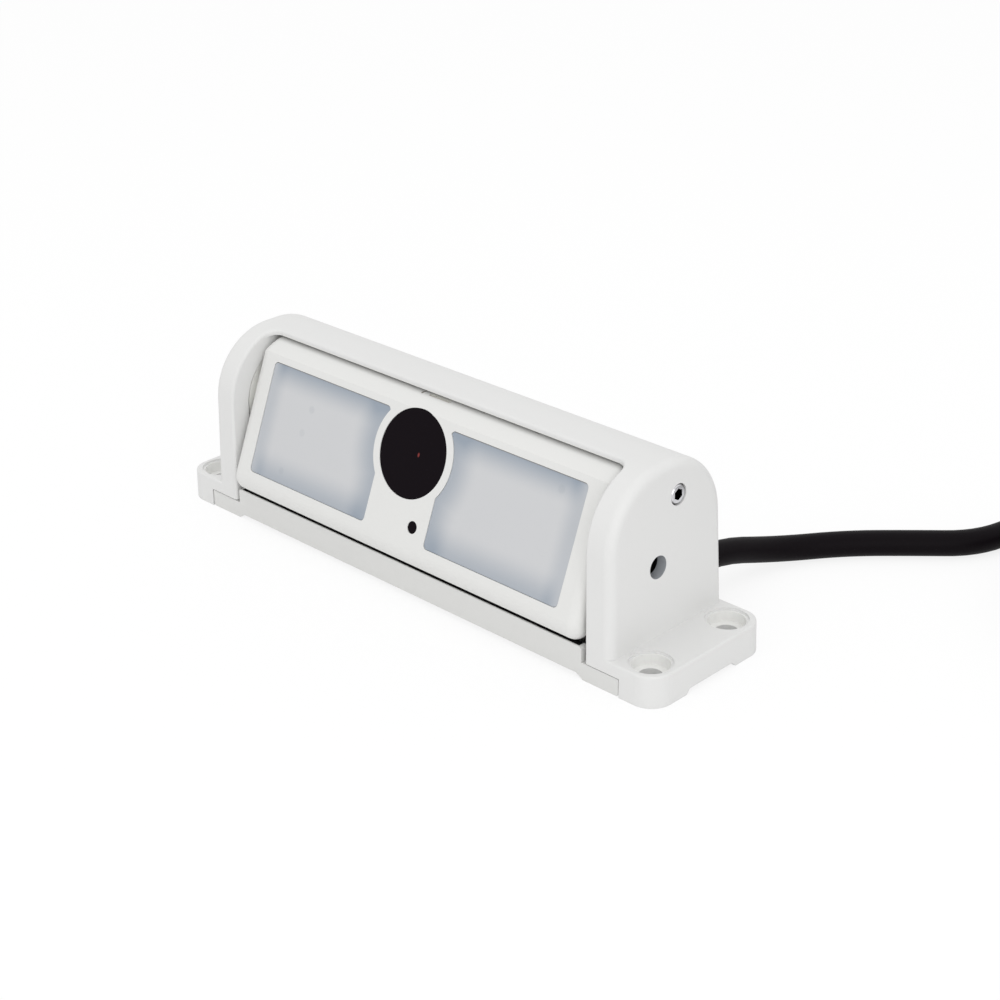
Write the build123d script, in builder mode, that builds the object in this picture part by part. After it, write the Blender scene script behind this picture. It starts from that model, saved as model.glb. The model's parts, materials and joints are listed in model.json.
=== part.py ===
"""Passenger counting camera: a sensor head that tilts inside a cast mounting hood.

The frame: X along the length, -Y towards the viewing side, +Z up. The origin is the
centre of the four fixing holes on the mounting plane. All lengths are millimetres.
"""
import os
from math import acos, asin, atan2, cos, degrees, hypot, pi, radians, sin, sqrt, tan

from build123d import *

os.makedirs("parts", exist_ok=True)

# Driving dimensions: the sensor head, its tilt axis and the standard parts
head_half = 60.0
head_r = 17.0
axis_height = 30.0
tilt_angle = 22.1
fixing_hole_d = 5.5
screw_recess_d = 9.0
cable_d = 6.5
side_hole_d = 5.5
grub_d = 5.0

# Head section, by distance from the tilt axis
face_drop = 3.2
face_out = head_r - face_drop
crease_e = sqrt(head_r ** 2 - face_out ** 2)
lip_reach = 5.6
lip_centre_e = -head_r - lip_reach
lip_r = 3.9
head_end_r = 3.0
bezel_front_wall = 2.0
bezel_wall = 1.5
shell_wall = 1.8
seal_depth = 5.4
seal_back = face_out - seal_depth
seal_thick = 0.5

# Hood casting
hood_wall = 1.3
head_clearance = 0.3
end_clearance = 0.35
cheek_draft = 1.2
opening_edge_r = 0.7
hood_draft = 1.5
end_draft = 1.8
pocket_wall = 2.4
cheek_inner = head_half + end_clearance
cheek_thick = 8.65
cheek_outer = cheek_inner + cheek_thick
hood_height = axis_height + head_r + head_clearance + hood_wall
side_room = 2.8
hood_depth = 2 * (head_r + side_room)
shoulder_flat = 2.6
arch_corner_r = hood_depth / 2 - shoulder_flat
end_edge_r = 2.3
opening_edge_y = 4.1
opening_corner_r = 3.4

# Feet and fixing holes
screw_offset = 6.0
fixing_spacing_x = 2 * (cheek_outer + screw_offset)
fixing_inset = 6.55
fixing_spacing_y = hood_depth - 2 * fixing_inset
foot_end = 6.5
foot_length = fixing_spacing_x + 2 * foot_end
foot_height = 7.8
foot_corner_r = 5.6
foot_edge_r = 0.5
screw_recess_depth = 3.2
rim_step_wide = 1.3
rim_step_d = screw_recess_d + rim_step_wide
rim_step_depth = 0.5
underside_relief = 1.2
pad_gap_half = 7.4

# Windows in the bezel
window_inner_x = 10.4
window_margin_x = 6.5
window_outer_x = head_half - window_margin_x
window_margin_low = 1.85
window_low_e = lip_centre_e + window_margin_low
window_margin_high = 1.7
window_high_e = crease_e - window_margin_high
window_corner_r = 1.2
window_sink = 0.16
window_gap = 0.1
window_flange = 1.2
flange_thick = 1.2
lens_e = -0.5
lens_margin = 1.0
lens_r = crease_e + lens_margin
ring_wall = 2.15
ring_r = lens_r + ring_wall
lens_seat_depth = 1.3
lens_ledge = 1.0
sensor_hole_x = 5.6
sensor_hole_up = 3.65
sensor_hole_e = window_low_e + sensor_hole_up
sensor_hole_r = 1.55

# Index mark on the head's top roll
mark_angle = 14.7
mark_x = 1.1
mark_length = 7.0
mark_width = 0.5
mark_depth = 0.25
tick_x = mark_x - mark_length / 2 - 2.35
tick_length = 1.35
tick_turn = 68

# Trunnions and their screws
trunnion_step = 3.5
trunnion_r = head_r - trunnion_step
hub_step = 2.0
trunnion_hub_r = trunnion_r - hub_step
trunnion_gap = 0.4
trunnion_thick = 2.9
turning_gap = 0.3
grub_y = 3.78
grub_inset = 3.35
grub_rise = trunnion_r - grub_inset
grub_sink = 0.1
grub_gap = 0.1
side_hole_y = -3.31
side_hole_drop = 5.05

# Base plate
lip_gap = 0.6
lip_drop = lip_r - (face_out - lip_r) * sin(radians(tilt_angle)) - lip_centre_e * cos(radians(tilt_angle))
base_top = axis_height - lip_drop - lip_gap
base_front = hood_depth / 2 - 0.25
base_wall = 2.0
base_floor_top = 3.2
tab_top = 4.4
tab_short = 4.0
tab_end = fixing_spacing_x / 2 - tab_short
floor_short = 5.6
floor_end = fixing_spacing_x / 2 - floor_short
tongue_short = 3.7
tongue_end = fixing_spacing_x / 2 - tongue_short
tongue_inset = 1.45
tongue_half = fixing_spacing_y / 2 - tongue_inset
relief_inset = 1.8
relief_end = cheek_inner - relief_inset
relief_ramp = 1.9
seam = 0.3
base_corner_r = 0.9
tab_corner_r = 0.7
front_lip = 0.35
strip_thick = 1.3
saddle_rise = 2.0
saddle_top = axis_height - trunnion_r + saddle_rise
base_screw_x = cheek_outer - 0.7
base_screw_inset = 3.3
base_screw_y = tongue_half - base_screw_inset
base_screw_r = 1.25
base_screw_length = foot_height - 1.0

# Cable, strain relief, coil and plug
cable_r = cable_d / 2
cable_offset = 6.75
cable_exit_x = cheek_inner - cable_offset
cable_exit_z = 9.2
cable_pad_wall = 3.95
cable_pad_r = cable_r + cable_pad_wall
cable_pad_y = hood_depth / 2 + 0.5
cable_hole_wall = 1.55
cable_hole_r = cable_r + cable_hole_wall
relief_flange_wide = 1.1
relief_flange_r = cable_hole_r + relief_flange_wide
relief_flange = 1.5
boot_end_r = cable_r + 0.85
boot_length = 8.0
boot_end_y = cable_pad_y + boot_length
coil_centre = (151.6, 100.3)
coil_mid_r = 36.0
coil_turns_wide = 2
plug_start_y = 66.3
plug_r = 7.25
plug_length = 37.5
plug_pin_length = 5.0
plug_nut_length = 9.6
thread_length = 6.5
tail_bend = (2.0, 9.5, 24.0)

# Boards inside the head, by distance along the face normal
board_thick = 1.6
main_board_depth = 12.8
main_board_back = face_out - main_board_depth
main_board_margin = 7.5
main_board_half = head_half - main_board_margin
main_board_up = 5.1
main_board_low = lip_centre_e + main_board_up
main_board_over = 3.4
main_board_high = crease_e + main_board_over
led_board_depth = 8.1
led_board_back = face_out - led_board_depth
led_board_thick = 1.2
emitter_pitch_x = 9.0
emitter_pitch_e = 6.5
emitter_size = (3.2, 2.8, 1.0)
board_screw_inset_x = (6.6, 5.5)
board_screw_inset_e = (5.75, 2.4)
board_screw_x = (window_inner_x + board_screw_inset_x[0], window_outer_x - board_screw_inset_x[1])
board_screw_e = (window_low_e + board_screw_inset_e[0], window_high_e - board_screw_inset_e[1])
board_screw_length = 10.5
post_r = 2.4
post_hole_depth = 5.2
spacer_r = 2.2
m2_r = 0.98
m2_hole_r = 1.0
m2_clear_r = 1.15
m2_head_r = 1.75
m2_head = 1.3
m2_socket = 0.8
shell_screw_inset = 3.6
shell_screw_x = head_half - shell_screw_inset
shell_screw_e = (crease_e + 0.35, lip_centre_e)
shell_screw_deep = 2.8
shell_screw_seat = seal_back - shell_screw_deep
shell_screw_length = 5.6
shell_column_r = 2.6
boss_r = 2.3
processor_size = 14.0
processor_thick = 1.3
heat_pad_thick = 0.8
chip_size = (8.0, 6.0, 1.1)
driver_size = (9.0, 9.0, 1.1)
coil_part_size = (7.0, 7.0, 3.2)
socket_size = (14.0, 6.0, 5.5)
socket_wall = 1.0
connector_size = (10.0, 3.5, 1.8)
camera_board_size = (16.5, 20.0, 1.0)
image_sensor_size = (7.0, 7.0, 0.9)
holder_size = 13.0
barrel_r = 6.2
front_lens_r = 4.6
front_lens_thick = 1.7

# Values worked out from the ones above
window_mid_x = (window_outer_x + window_inner_x) / 2
window_mid_e = (window_high_e + window_low_e) / 2
out_y = -cos(radians(tilt_angle))
out_z = sin(radians(tilt_angle))
tilt_point = (0, 0, axis_height)
face = Plane(origin=tilt_point, x_dir=(1, 0, 0), z_dir=(0, out_y, out_z))
mark_out = (0, -sin(radians(mark_angle)), cos(radians(mark_angle)))
mark_plane = Plane(origin=tilt_point, x_dir=(1, 0, 0), z_dir=mark_out)
head_section = Plane(origin=tilt_point, x_dir=(0, out_y, out_z), z_dir=(-1, 0, 0))
foot_half = hood_depth / 2
shoulder_half = foot_half - hood_height * tan(radians(hood_draft))
inner_half = foot_half - axis_height * tan(radians(hood_draft)) - hood_wall
inner_top = hood_height - hood_wall
cheek_low = cheek_inner + inner_top * tan(radians(cheek_draft))
end_slope = tan(radians(end_draft))
pocket_end = cheek_outer - axis_height * end_slope - pocket_wall
pocket_r = trunnion_r + turning_gap
trunnion_start = cheek_inner + trunnion_gap
trunnion_end = trunnion_start + trunnion_thick
grub_inner = trunnion_end + 0.05
grub_outer = cheek_outer - (axis_height + grub_rise) * end_slope - grub_sink
bezel_back = seal_back + seal_thick
wall_back = face_out - bezel_front_wall
flange_back = wall_back - flange_thick
board_front = main_board_back + board_thick
led_board_front = led_board_back + led_board_thick
lip_centre_n = face_out - lip_r
cable_start_y = inner_half - 0.5
edge = 0.01


def save(builder, name):
    """Label a finished piece and write it to its own file."""
    builder.part.label = name
    export_step(builder.part, f"parts/{name}.step")
    print(name, len(builder.part.solids()), "solid(s)", round(builder.part.volume, 1), "mm3")


def yz_plane(x):
    """A plane across the length at x: its axes are Y and Z."""
    return Plane.YZ.offset(x)


# Head outline: flat face, rolled lip and a round back about the tilt axis
def head_outline(inset):
    """Section of the head, drawn in (outward, up the face), inset by a wall."""
    round_r = head_r - inset
    small_r = lip_r - inset
    front = face_out - inset
    reach = hypot(lip_centre_n, lip_centre_e)
    down = atan2(lip_centre_e, lip_centre_n) - acos((head_r - lip_r) / reach)
    crease = acos(front / round_r)
    lip_point = (lip_centre_n + small_r * cos(down), lip_centre_e + small_r * sin(down))
    back_point = (round_r * cos(down), round_r * sin(down))
    turn = 360 + degrees(down) - degrees(crease)
    with BuildSketch() as outline:
        with BuildLine():
            Line((front, lip_centre_e), (front, front * tan(crease)))
            CenterArc((0, 0), round_r, degrees(crease), turn)
            Line(back_point, lip_point)
            CenterArc((lip_centre_n, lip_centre_e), small_r, degrees(down), -degrees(down))
        make_face()
    return outline.sketch


def window_outline(side, grow):
    """One window: a rectangle cut by the ring round the lens, grown by a margin."""
    width = window_outer_x - window_inner_x + 2 * grow
    height = window_high_e - window_low_e + 2 * grow
    middle_x = side * (window_outer_x + window_inner_x) / 2
    middle_e = (window_high_e + window_low_e) / 2
    with BuildSketch() as outline:
        with Locations((middle_x, middle_e)):
            Rectangle(width, height)
        fillet(outline.vertices(), window_corner_r + max(grow, 0))
        with Locations((0, lens_e)):
            Circle(ring_r - grow, mode=Mode.SUBTRACT)
    return outline.sketch


def both_ways(values_x, values_e):
    """Places at plus and minus each x, for each height up the face."""
    return [(side * x, e) for x in values_x for e in values_e for side in (-1, 1)]


board_screw_places = both_ways(board_screw_x, board_screw_e)
shell_screw_places = both_ways((shell_screw_x,), shell_screw_e)
fixing_places = [(sx * fixing_spacing_x / 2, sy * fixing_spacing_y / 2) for sx in (-1, 1) for sy in (-1, 1)]
base_screw_places = [(sx * base_screw_x, sy * base_screw_y) for sx in (-1, 1) for sy in (-1, 1)]

# Hood: one casting with the feet, the arch and two cheeks
with BuildPart() as hood:
    with BuildSketch(yz_plane(0)) as arch:
        with BuildLine():
            Polyline((-foot_half, 0), (-shoulder_half, hood_height), (shoulder_half, hood_height),
                     (foot_half, 0), close=True)
        make_face()
        fillet(arch.vertices().group_by(Axis.Y)[-1], arch_corner_r)
    extrude(amount=cheek_outer, both=True)
    # Both ends lean in by the end draft
    with BuildSketch(Plane.XZ.offset(-hood_depth)):
        for side in (-1, 1):
            Polygon((side * (cheek_outer + 1), -1), (side * (cheek_outer + end_slope), -1),
                    (side * (cheek_outer - end_slope * (hood_height + 1)), hood_height + 1),
                    (side * (cheek_outer + 1), hood_height + 1), align=None)
    extrude(amount=2 * hood_depth, mode=Mode.SUBTRACT)
    end_faces = hood.faces().sort_by(Axis.X)
    end_edges = [e for f in (end_faces[0], end_faces[-1]) for e in f.edges() if e.center().Z > edge]
    fillet(end_edges, end_edge_r)
    with BuildPart(mode=Mode.PRIVATE) as feet:
        with BuildSketch(Plane.XY):
            RectangleRounded(foot_length, hood_depth, foot_corner_r)
        extrude(amount=foot_height, taper=hood_draft)
        fillet(feet.edges().group_by(Axis.Z)[-1], foot_edge_r)
    add(feet)
    # Room for the head, open towards the viewing side and underneath
    with BuildPart(mode=Mode.PRIVATE) as cavity:
        with BuildSketch(Plane.XZ.offset(-hood_depth)):
            Polygon((-cheek_low, -1), (cheek_low, -1), (cheek_inner, inner_top), (cheek_inner, hood_height + 2),
                    (-cheek_inner, hood_height + 2), (-cheek_inner, inner_top), align=None)
        extrude(amount=2 * hood_depth)
        with BuildSketch(yz_plane(0)) as room:
            with Locations((0, inner_top / 2 - 1)):
                Rectangle(2 * inner_half, inner_top + 2)
            fillet(room.vertices().group_by(Axis.Y)[-1], arch_corner_r - hood_wall)
        extrude(amount=foot_length, both=True, mode=Mode.INTERSECT)
    with BuildPart(mode=Mode.PRIVATE) as way_in:
        with BuildSketch(Plane.XZ.offset(-hood_depth)):
            Polygon((-cheek_low, -1), (cheek_low, -1), (cheek_inner, inner_top), (cheek_inner, hood_height + 2),
                    (-cheek_inner, hood_height + 2), (-cheek_inner, inner_top), align=None)
        extrude(amount=2 * hood_depth)
        with BuildSketch(Plane.XY.offset(-1)) as opening:
            with Locations((0, -opening_edge_y - hood_depth / 2)):
                Rectangle(2 * (cheek_inner + 5), hood_depth)
        extrude(amount=hood_height + 4, mode=Mode.INTERSECT)
        corners = way_in.edges().filter_by(lambda e: e.center().Y > -opening_edge_y - edge and e.length > 2)
        fillet(corners.filter_by(lambda e: abs(e.center().X) > head_half), opening_corner_r)
    add(cavity, mode=Mode.SUBTRACT)
    add(way_in, mode=Mode.SUBTRACT)
    # Soft edge along the cut, on the outside only
    cut_faces = hood.faces().filter_by(lambda f: abs(f.center().Y + opening_edge_y) < edge and f.center().Z > inner_top)
    cut_edge = cut_faces[0].edges().sort_by(Axis.Z)[-1]
    fillet(cut_edge, opening_edge_r)
    # Pockets for the trunnions, open downwards so that the head goes in from below
    for side in (-1, 1):
        with BuildSketch(yz_plane(side * (cheek_inner + pocket_end) / 2)):
            with Locations((0, axis_height)):
                Circle(pocket_r)
            with Locations((0, axis_height / 2)):
                Rectangle(2 * pocket_r, axis_height)
        extrude(amount=(pocket_end - cheek_inner) / 2, both=True, mode=Mode.SUBTRACT)
    # Seats for the base plate and its front tabs
    with BuildSketch(Plane.XY):
        Rectangle(2 * (floor_end + seam), 2 * inner_half)
        Rectangle(2 * (tongue_end + seam), 2 * (tongue_half + seam))
    extrude(amount=base_floor_top + seam, mode=Mode.SUBTRACT)
    with BuildSketch(Plane.XZ.offset(base_front - base_wall - seam)) as tab_seat:
        with Locations((0, (tab_top + seam) / 2 - 1)):
            Rectangle(2 * (tab_end + seam), tab_top + seam + 2)
    extrude(amount=hood_depth / 2, mode=Mode.SUBTRACT)
    # Relief under the feet and under the back wall
    with BuildSketch(yz_plane(0)):
        Polygon((-pad_gap_half - underside_relief, 0), (-pad_gap_half, underside_relief),
                (pad_gap_half, underside_relief), (pad_gap_half + underside_relief, 0), align=None)
    extrude(amount=foot_length, both=True, mode=Mode.SUBTRACT)
    with BuildSketch(Plane.XZ.offset(-hood_depth)):
        Polygon((-relief_end - relief_ramp, 0), (-relief_end, underside_relief),
                (relief_end, underside_relief), (relief_end + relief_ramp, 0), align=None)
    extrude(amount=hood_depth, mode=Mode.SUBTRACT)
    # Fixing holes with a recess for the screw head
    with BuildSketch(Plane.XY.offset(foot_height)):
        with Locations(*fixing_places):
            Circle(rim_step_d / 2)
    extrude(amount=-rim_step_depth, mode=Mode.SUBTRACT)
    with BuildSketch(Plane.XY.offset(foot_height)):
        with Locations(*fixing_places):
            Circle(screw_recess_d / 2)
    extrude(amount=-screw_recess_depth, mode=Mode.SUBTRACT)
    with BuildSketch(Plane.XY):
        with Locations(*fixing_places):
            Circle(fixing_hole_d / 2)
    extrude(amount=foot_height, mode=Mode.SUBTRACT)
    # Threaded hole for each clamping screw, and the plain hole beside it
    for side in (-1, 1):
        with BuildSketch(yz_plane(side * (pocket_end + cheek_outer) / 2)):
            with Locations((grub_y, axis_height + grub_rise)):
                Circle(grub_d / 2 + grub_gap)
            with Locations((side_hole_y, axis_height - side_hole_drop)):
                Circle(side_hole_d / 2)
        extrude(amount=pocket_wall, both=True, mode=Mode.SUBTRACT)
    # Blind holes for the base screws
    with BuildSketch(Plane.XY):
        with Locations(*base_screw_places):
            Circle(base_screw_r)
    extrude(amount=base_screw_length + 0.4, mode=Mode.SUBTRACT)
    # Pad and hole for the cable on the back wall
    with BuildSketch(Plane.XZ.offset(-cable_pad_y)):
        with Locations((cable_exit_x, cable_exit_z)):
            Circle(cable_pad_r)
    extrude(amount=cable_pad_y - inner_half)
    with BuildSketch(Plane.XZ.offset(-cable_pad_y)):
        with Locations((cable_exit_x, cable_exit_z)):
            Circle(cable_hole_r)
    extrude(amount=cable_pad_y - inner_half + 1, mode=Mode.SUBTRACT)
save(hood, "hood")

# Base plate: floor, front wall with tabs and the saddles under the trunnions
with BuildPart() as base_plate:
    with BuildSketch(Plane.XZ.offset(base_front)) as front_outline:
        with BuildLine():
            Polyline((-tab_end, 0), (-relief_end - relief_ramp, 0), (-relief_end, underside_relief),
                     (relief_end, underside_relief), (relief_end + relief_ramp, 0), (tab_end, 0),
                     (tab_end, tab_top), (cheek_inner - seam, tab_top), (cheek_inner - seam, base_top),
                     (seam - cheek_inner, base_top), (seam - cheek_inner, tab_top), (-tab_end, tab_top), close=True)
        make_face()
        fillet(front_outline.vertices().group_by(Axis.Y)[-1], base_corner_r)
        outer_corners = front_outline.vertices().filter_by(lambda v: abs(v.X) > tab_end - edge)
        fillet(outer_corners.group_by(Axis.Y)[0], tab_corner_r)
    extrude(amount=-base_wall)
    with BuildSketch(Plane.XZ.offset(base_front - base_wall)):
        with BuildLine():
            Polyline((-floor_end, 0), (-relief_end - relief_ramp, 0), (-relief_end, underside_relief),
                     (relief_end, underside_relief), (relief_end + relief_ramp, 0), (floor_end, 0),
                     (floor_end, base_floor_top), (-floor_end, base_floor_top), close=True)
        make_face()
    extrude(amount=-(base_front - base_wall + inner_half - seam))
    # Ledge for the foam strip along the top of the front wall
    with BuildSketch(Plane.XY.offset(base_top - strip_thick)):
        with Locations((0, -base_front + (front_lip + base_wall) / 2)):
            Rectangle(2 * (cheek_inner - 1.2), base_wall - front_lip)
    extrude(amount=strip_thick, mode=Mode.SUBTRACT)
    with BuildSketch(Plane.XY):
        Rectangle(2 * tongue_end, 2 * tongue_half)
        Rectangle(2 * (floor_end - 1), 2 * tongue_half, mode=Mode.SUBTRACT)
    extrude(amount=base_floor_top)
    for side in (-1, 1):
        with BuildSketch(yz_plane(side * (cheek_inner + pocket_end) / 2)):
            with Locations((0, (base_floor_top + saddle_top) / 2)):
                Rectangle(2 * (pocket_r - turning_gap), saddle_top - base_floor_top)
            with Locations((0, axis_height)):
                Circle(pocket_r, mode=Mode.SUBTRACT)
        extrude(amount=(pocket_end - cheek_inner) / 2 - seam, both=True)
    with BuildSketch(Plane.XY):
        with Locations(*base_screw_places):
            Circle(base_screw_r + 0.15)
    extrude(amount=base_top, mode=Mode.SUBTRACT)
    with BuildSketch(Plane.XY):
        with Locations(*base_screw_places):
            Circle(2 * base_screw_r + 0.15)
    extrude(amount=base_screw_r + 0.15, taper=44.99, mode=Mode.SUBTRACT)
save(base_plate, "base_plate")

# Dark foam strip on the front wall's ledge, under the head's lip
with BuildPart() as front_strip:
    with BuildSketch(Plane.XY.offset(base_top - strip_thick)):
        with Locations((0, -base_front + (front_lip + base_wall) / 2)):
            Rectangle(2 * (cheek_inner - 1.2), base_wall - front_lip)
    extrude(amount=strip_thick - 0.05)
save(front_strip, "front_strip")

# Countersunk screws that hold the base plate
with BuildPart() as base_screws:
    with BuildSketch(Plane.XY.offset(0.1)):
        with Locations(*base_screw_places):
            Circle(2 * base_screw_r - 0.05)
    extrude(amount=base_screw_r, taper=44.99)
    with BuildSketch(Plane.XY.offset(0.1)):
        with Locations(*base_screw_places):
            Circle(base_screw_r - 0.02)
    extrude(amount=base_screw_length)
    with BuildSketch(Plane.XY.offset(0.1)):
        with Locations(*base_screw_places):
            RegularPolygon(0.75, 6)
    extrude(amount=0.9, mode=Mode.SUBTRACT)
save(base_screws, "base_screws")

# Clamping screws that press on the trunnions
for side, name in ((-1, "grub_screw_left"), (1, "grub_screw_right")):
    with BuildPart() as grub:
        with BuildSketch(yz_plane(side * grub_inner)):
            with Locations((grub_y, axis_height + grub_rise)):
                Circle(grub_d / 2)
        extrude(amount=side * (grub_outer - grub_inner))
        ends = grub.edges().filter_by(GeomType.CIRCLE).sort_by(Axis.X, reverse=side < 0)
        chamfer(ends[-1], 0.45)
        chamfer(ends[0], 0.8)
        with BuildSketch(yz_plane(side * grub_outer)):
            with Locations((grub_y, axis_height + grub_rise)):
                RegularPolygon(1.45, 6, rotation=30)
        extrude(amount=-side * 2.2, mode=Mode.SUBTRACT)
    save(grub, name)


def head_envelope():
    """The whole outside of the head, with its end edges rolled."""
    with BuildPart() as envelope:
        with BuildSketch(head_section):
            add(head_outline(0))
        extrude(amount=head_half, both=True)
        ends = envelope.edges().filter_by(lambda e: abs(abs(e.center().X) - head_half) < edge)
        fillet(ends, head_end_r)
    return envelope.part


def head_room(wall, front):
    """The space inside the head's walls, up to a plane behind the face."""
    with BuildPart() as room:
        with BuildSketch(head_section):
            add(head_outline(wall))
        extrude(amount=head_half - wall, both=True)
        split(bisect_by=face.offset(front), keep=Keep.BOTTOM)
    return room.part


def shell_posts():
    """Posts, screw columns and the heat pad's seat, trimmed to the head's outside."""
    with BuildPart() as posts:
        with BuildSketch(face.offset(main_board_back)):
            with Locations(*board_screw_places):
                Circle(post_r)
        extrude(amount=-2 * head_r)
        with BuildSketch(face.offset(seal_back)):
            with Locations(*shell_screw_places):
                Circle(shell_column_r)
        extrude(amount=-2 * head_r)
        with BuildSketch(face.offset(main_board_back - processor_thick - heat_pad_thick)):
            with Locations((-window_mid_x, 0)):
                Rectangle(processor_size + 2, processor_size + 2)
        extrude(amount=-2 * head_r)
        add(envelope, mode=Mode.INTERSECT)
    return posts.part


envelope = head_envelope()

# Front bezel
with BuildPart() as front_bezel:
    add(envelope)
    split(bisect_by=face.offset(bezel_back), keep=Keep.TOP)
    add(head_room(bezel_wall, wall_back), mode=Mode.SUBTRACT)
    for side in (-1, 1):
        with BuildSketch(face.offset(face_out)):
            add(window_outline(side, 0))
        extrude(amount=-bezel_front_wall, mode=Mode.SUBTRACT)
    with BuildSketch(face.offset(face_out)):
        with Locations((0, lens_e)):
            Circle(lens_r)
        with Locations((sensor_hole_x, sensor_hole_e)):
            Circle(sensor_hole_r)
    extrude(amount=-lens_seat_depth, mode=Mode.SUBTRACT)
    with BuildSketch(face.offset(face_out)):
        with Locations((0, lens_e)):
            Circle(lens_r - lens_ledge)
        with Locations((sensor_hole_x, sensor_hole_e)):
            Circle(sensor_hole_r - 0.4)
    extrude(amount=-bezel_front_wall, mode=Mode.SUBTRACT)
    with BuildSketch(face.offset(bezel_back)):
        with Locations(*shell_screw_places):
            Circle(boss_r)
        with Locations((sensor_hole_x, sensor_hole_e)):
            Circle(2.4)
            Circle(1.5, mode=Mode.SUBTRACT)
    extrude(amount=wall_back - bezel_back)
    add(envelope, mode=Mode.INTERSECT)
    with BuildSketch(face.offset(bezel_back)):
        with Locations(*shell_screw_places):
            Circle(m2_hole_r)
    extrude(amount=2.5, mode=Mode.SUBTRACT)
    # Index mark on the top roll, just under the hood's edge
    with BuildSketch(mark_plane.offset(head_r - mark_depth)):
        with Locations((mark_x, 0)):
            Rectangle(mark_length, mark_width)
        with Locations((tick_x, 0.3)):
            Rectangle(tick_length, mark_width, rotation=tick_turn)
    extrude(amount=1, mode=Mode.SUBTRACT)
save(front_bezel, "front_bezel")

# Rear shell with the trunnions that the head turns on
with BuildPart() as rear_shell:
    add(envelope)
    split(bisect_by=face.offset(seal_back), keep=Keep.BOTTOM)
    add(head_room(shell_wall, seal_back + 1), mode=Mode.SUBTRACT)
    add(shell_posts())
    with BuildSketch(face.offset(main_board_back)):
        with Locations(*board_screw_places):
            Circle(m2_hole_r)
    extrude(amount=-post_hole_depth, mode=Mode.SUBTRACT)
    with BuildSketch(face.offset(seal_back)):
        with Locations(*shell_screw_places):
            Circle(m2_clear_r)
    extrude(amount=-(seal_back - shell_screw_seat), mode=Mode.SUBTRACT)
    with BuildSketch(face.offset(shell_screw_seat)):
        with Locations(*shell_screw_places):
            Circle(m2_head_r + 0.2)
    extrude(amount=-2 * head_r, mode=Mode.SUBTRACT)
    for side in (-1, 1):
        with BuildSketch(yz_plane(side * head_half)):
            with Locations((0, axis_height)):
                Circle(trunnion_hub_r)
        extrude(amount=side * (trunnion_start - head_half))
        with BuildSketch(yz_plane(side * trunnion_start)):
            with Locations((0, axis_height)):
                Circle(trunnion_r)
        extrude(amount=side * trunnion_thick)
save(rear_shell, "rear_shell")

# Seal between the bezel and the shell
with BuildPart() as housing_seal:
    seal_top = sqrt(head_r ** 2 - bezel_back ** 2) - 0.25
    seal_low = lip_centre_e - sqrt(lip_r ** 2 - (seal_back - lip_centre_n) ** 2) + 0.25
    with BuildSketch(face.offset(seal_back)):
        with Locations((0, (seal_top + seal_low) / 2)):
            RectangleRounded(2 * head_half - 0.6, seal_top - seal_low, head_end_r)
            RectangleRounded(2 * (head_half - bezel_wall) - 0.4, seal_top - seal_low - 2 * 1.45, 2, mode=Mode.SUBTRACT)
        with Locations(*shell_screw_places):
            Circle(2.2)
            Circle(m2_clear_r, mode=Mode.SUBTRACT)
    extrude(amount=seal_thick)
save(housing_seal, "housing_seal")

# Frosted windows, the light boxes behind them and their boards
for side, word in ((-1, "left"), (1, "right")):
    side_places = [(x, e) for x, e in board_screw_places if x * side > 0]
    with BuildPart() as diffuser:
        with BuildSketch(face.offset(face_out - window_sink)):
            add(window_outline(side, -window_gap))
        extrude(amount=-(bezel_front_wall - window_sink))
        with BuildSketch(face.offset(wall_back)):
            add(window_outline(side, window_flange))
        extrude(amount=-flange_thick)
    save(diffuser, f"{word}_diffuser")
    with BuildPart() as light_box:
        with BuildSketch(face.offset(flange_back)):
            add(window_outline(side, window_flange))
        extrude(amount=led_board_front - flange_back)
        with BuildSketch(face.offset(flange_back)):
            add(window_outline(side, 0.2))
        extrude(amount=led_board_front - flange_back, taper=6, mode=Mode.SUBTRACT)
    save(light_box, f"{word}_light_box")
    with BuildPart() as led_board:
        with BuildSketch(face.offset(led_board_back)):
            add(window_outline(side, window_flange))
            with Locations(*side_places):
                Circle(m2_clear_r, mode=Mode.SUBTRACT)
        extrude(amount=led_board_thick)
    save(led_board, f"{word}_led_board")

# Emitters on the boards
with BuildPart() as emitters:
    with BuildSketch(face.offset(led_board_front)):
        for side in (-1, 1):
            with Locations((side * window_mid_x, (board_screw_e[0] + board_screw_e[1]) / 2)):
                with GridLocations(emitter_pitch_x, emitter_pitch_e, 3, 3):
                    Rectangle(emitter_size[0], emitter_size[1])
    extrude(amount=emitter_size[2])
save(emitters, "emitters")

# Main board on the shell's posts, with its spacers and screws
with BuildPart() as main_board:
    with BuildSketch(face.offset(main_board_back)):
        with Locations((0, (main_board_low + main_board_high) / 2)):
            RectangleRounded(2 * main_board_half, main_board_high - main_board_low, 2)
        with Locations(*board_screw_places):
            Circle(m2_clear_r, mode=Mode.SUBTRACT)
    extrude(amount=board_thick)
save(main_board, "main_board")

with BuildPart() as board_spacers:
    with BuildSketch(face.offset(board_front)):
        with Locations(*board_screw_places):
            RegularPolygon(spacer_r, 6)
            Circle(m2_clear_r, mode=Mode.SUBTRACT)
    extrude(amount=led_board_back - board_front)
save(board_spacers, "board_spacers")


def m2_screws(places, seat, length, toward):
    """Pan-head screws: the head stands on the seat, the shank goes the other way."""
    with BuildPart() as screws:
        with BuildSketch(face.offset(seat)):
            with Locations(*places):
                Circle(m2_head_r)
        extrude(amount=toward * m2_head)
        with BuildSketch(face.offset(seat)):
            with Locations(*places):
                Circle(m2_r)
        extrude(amount=-toward * length)
        with BuildSketch(face.offset(seat + toward * m2_head)):
            with Locations(*places):
                RegularPolygon(m2_socket, 6)
        extrude(amount=-toward * m2_socket, mode=Mode.SUBTRACT)
    return screws


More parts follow.
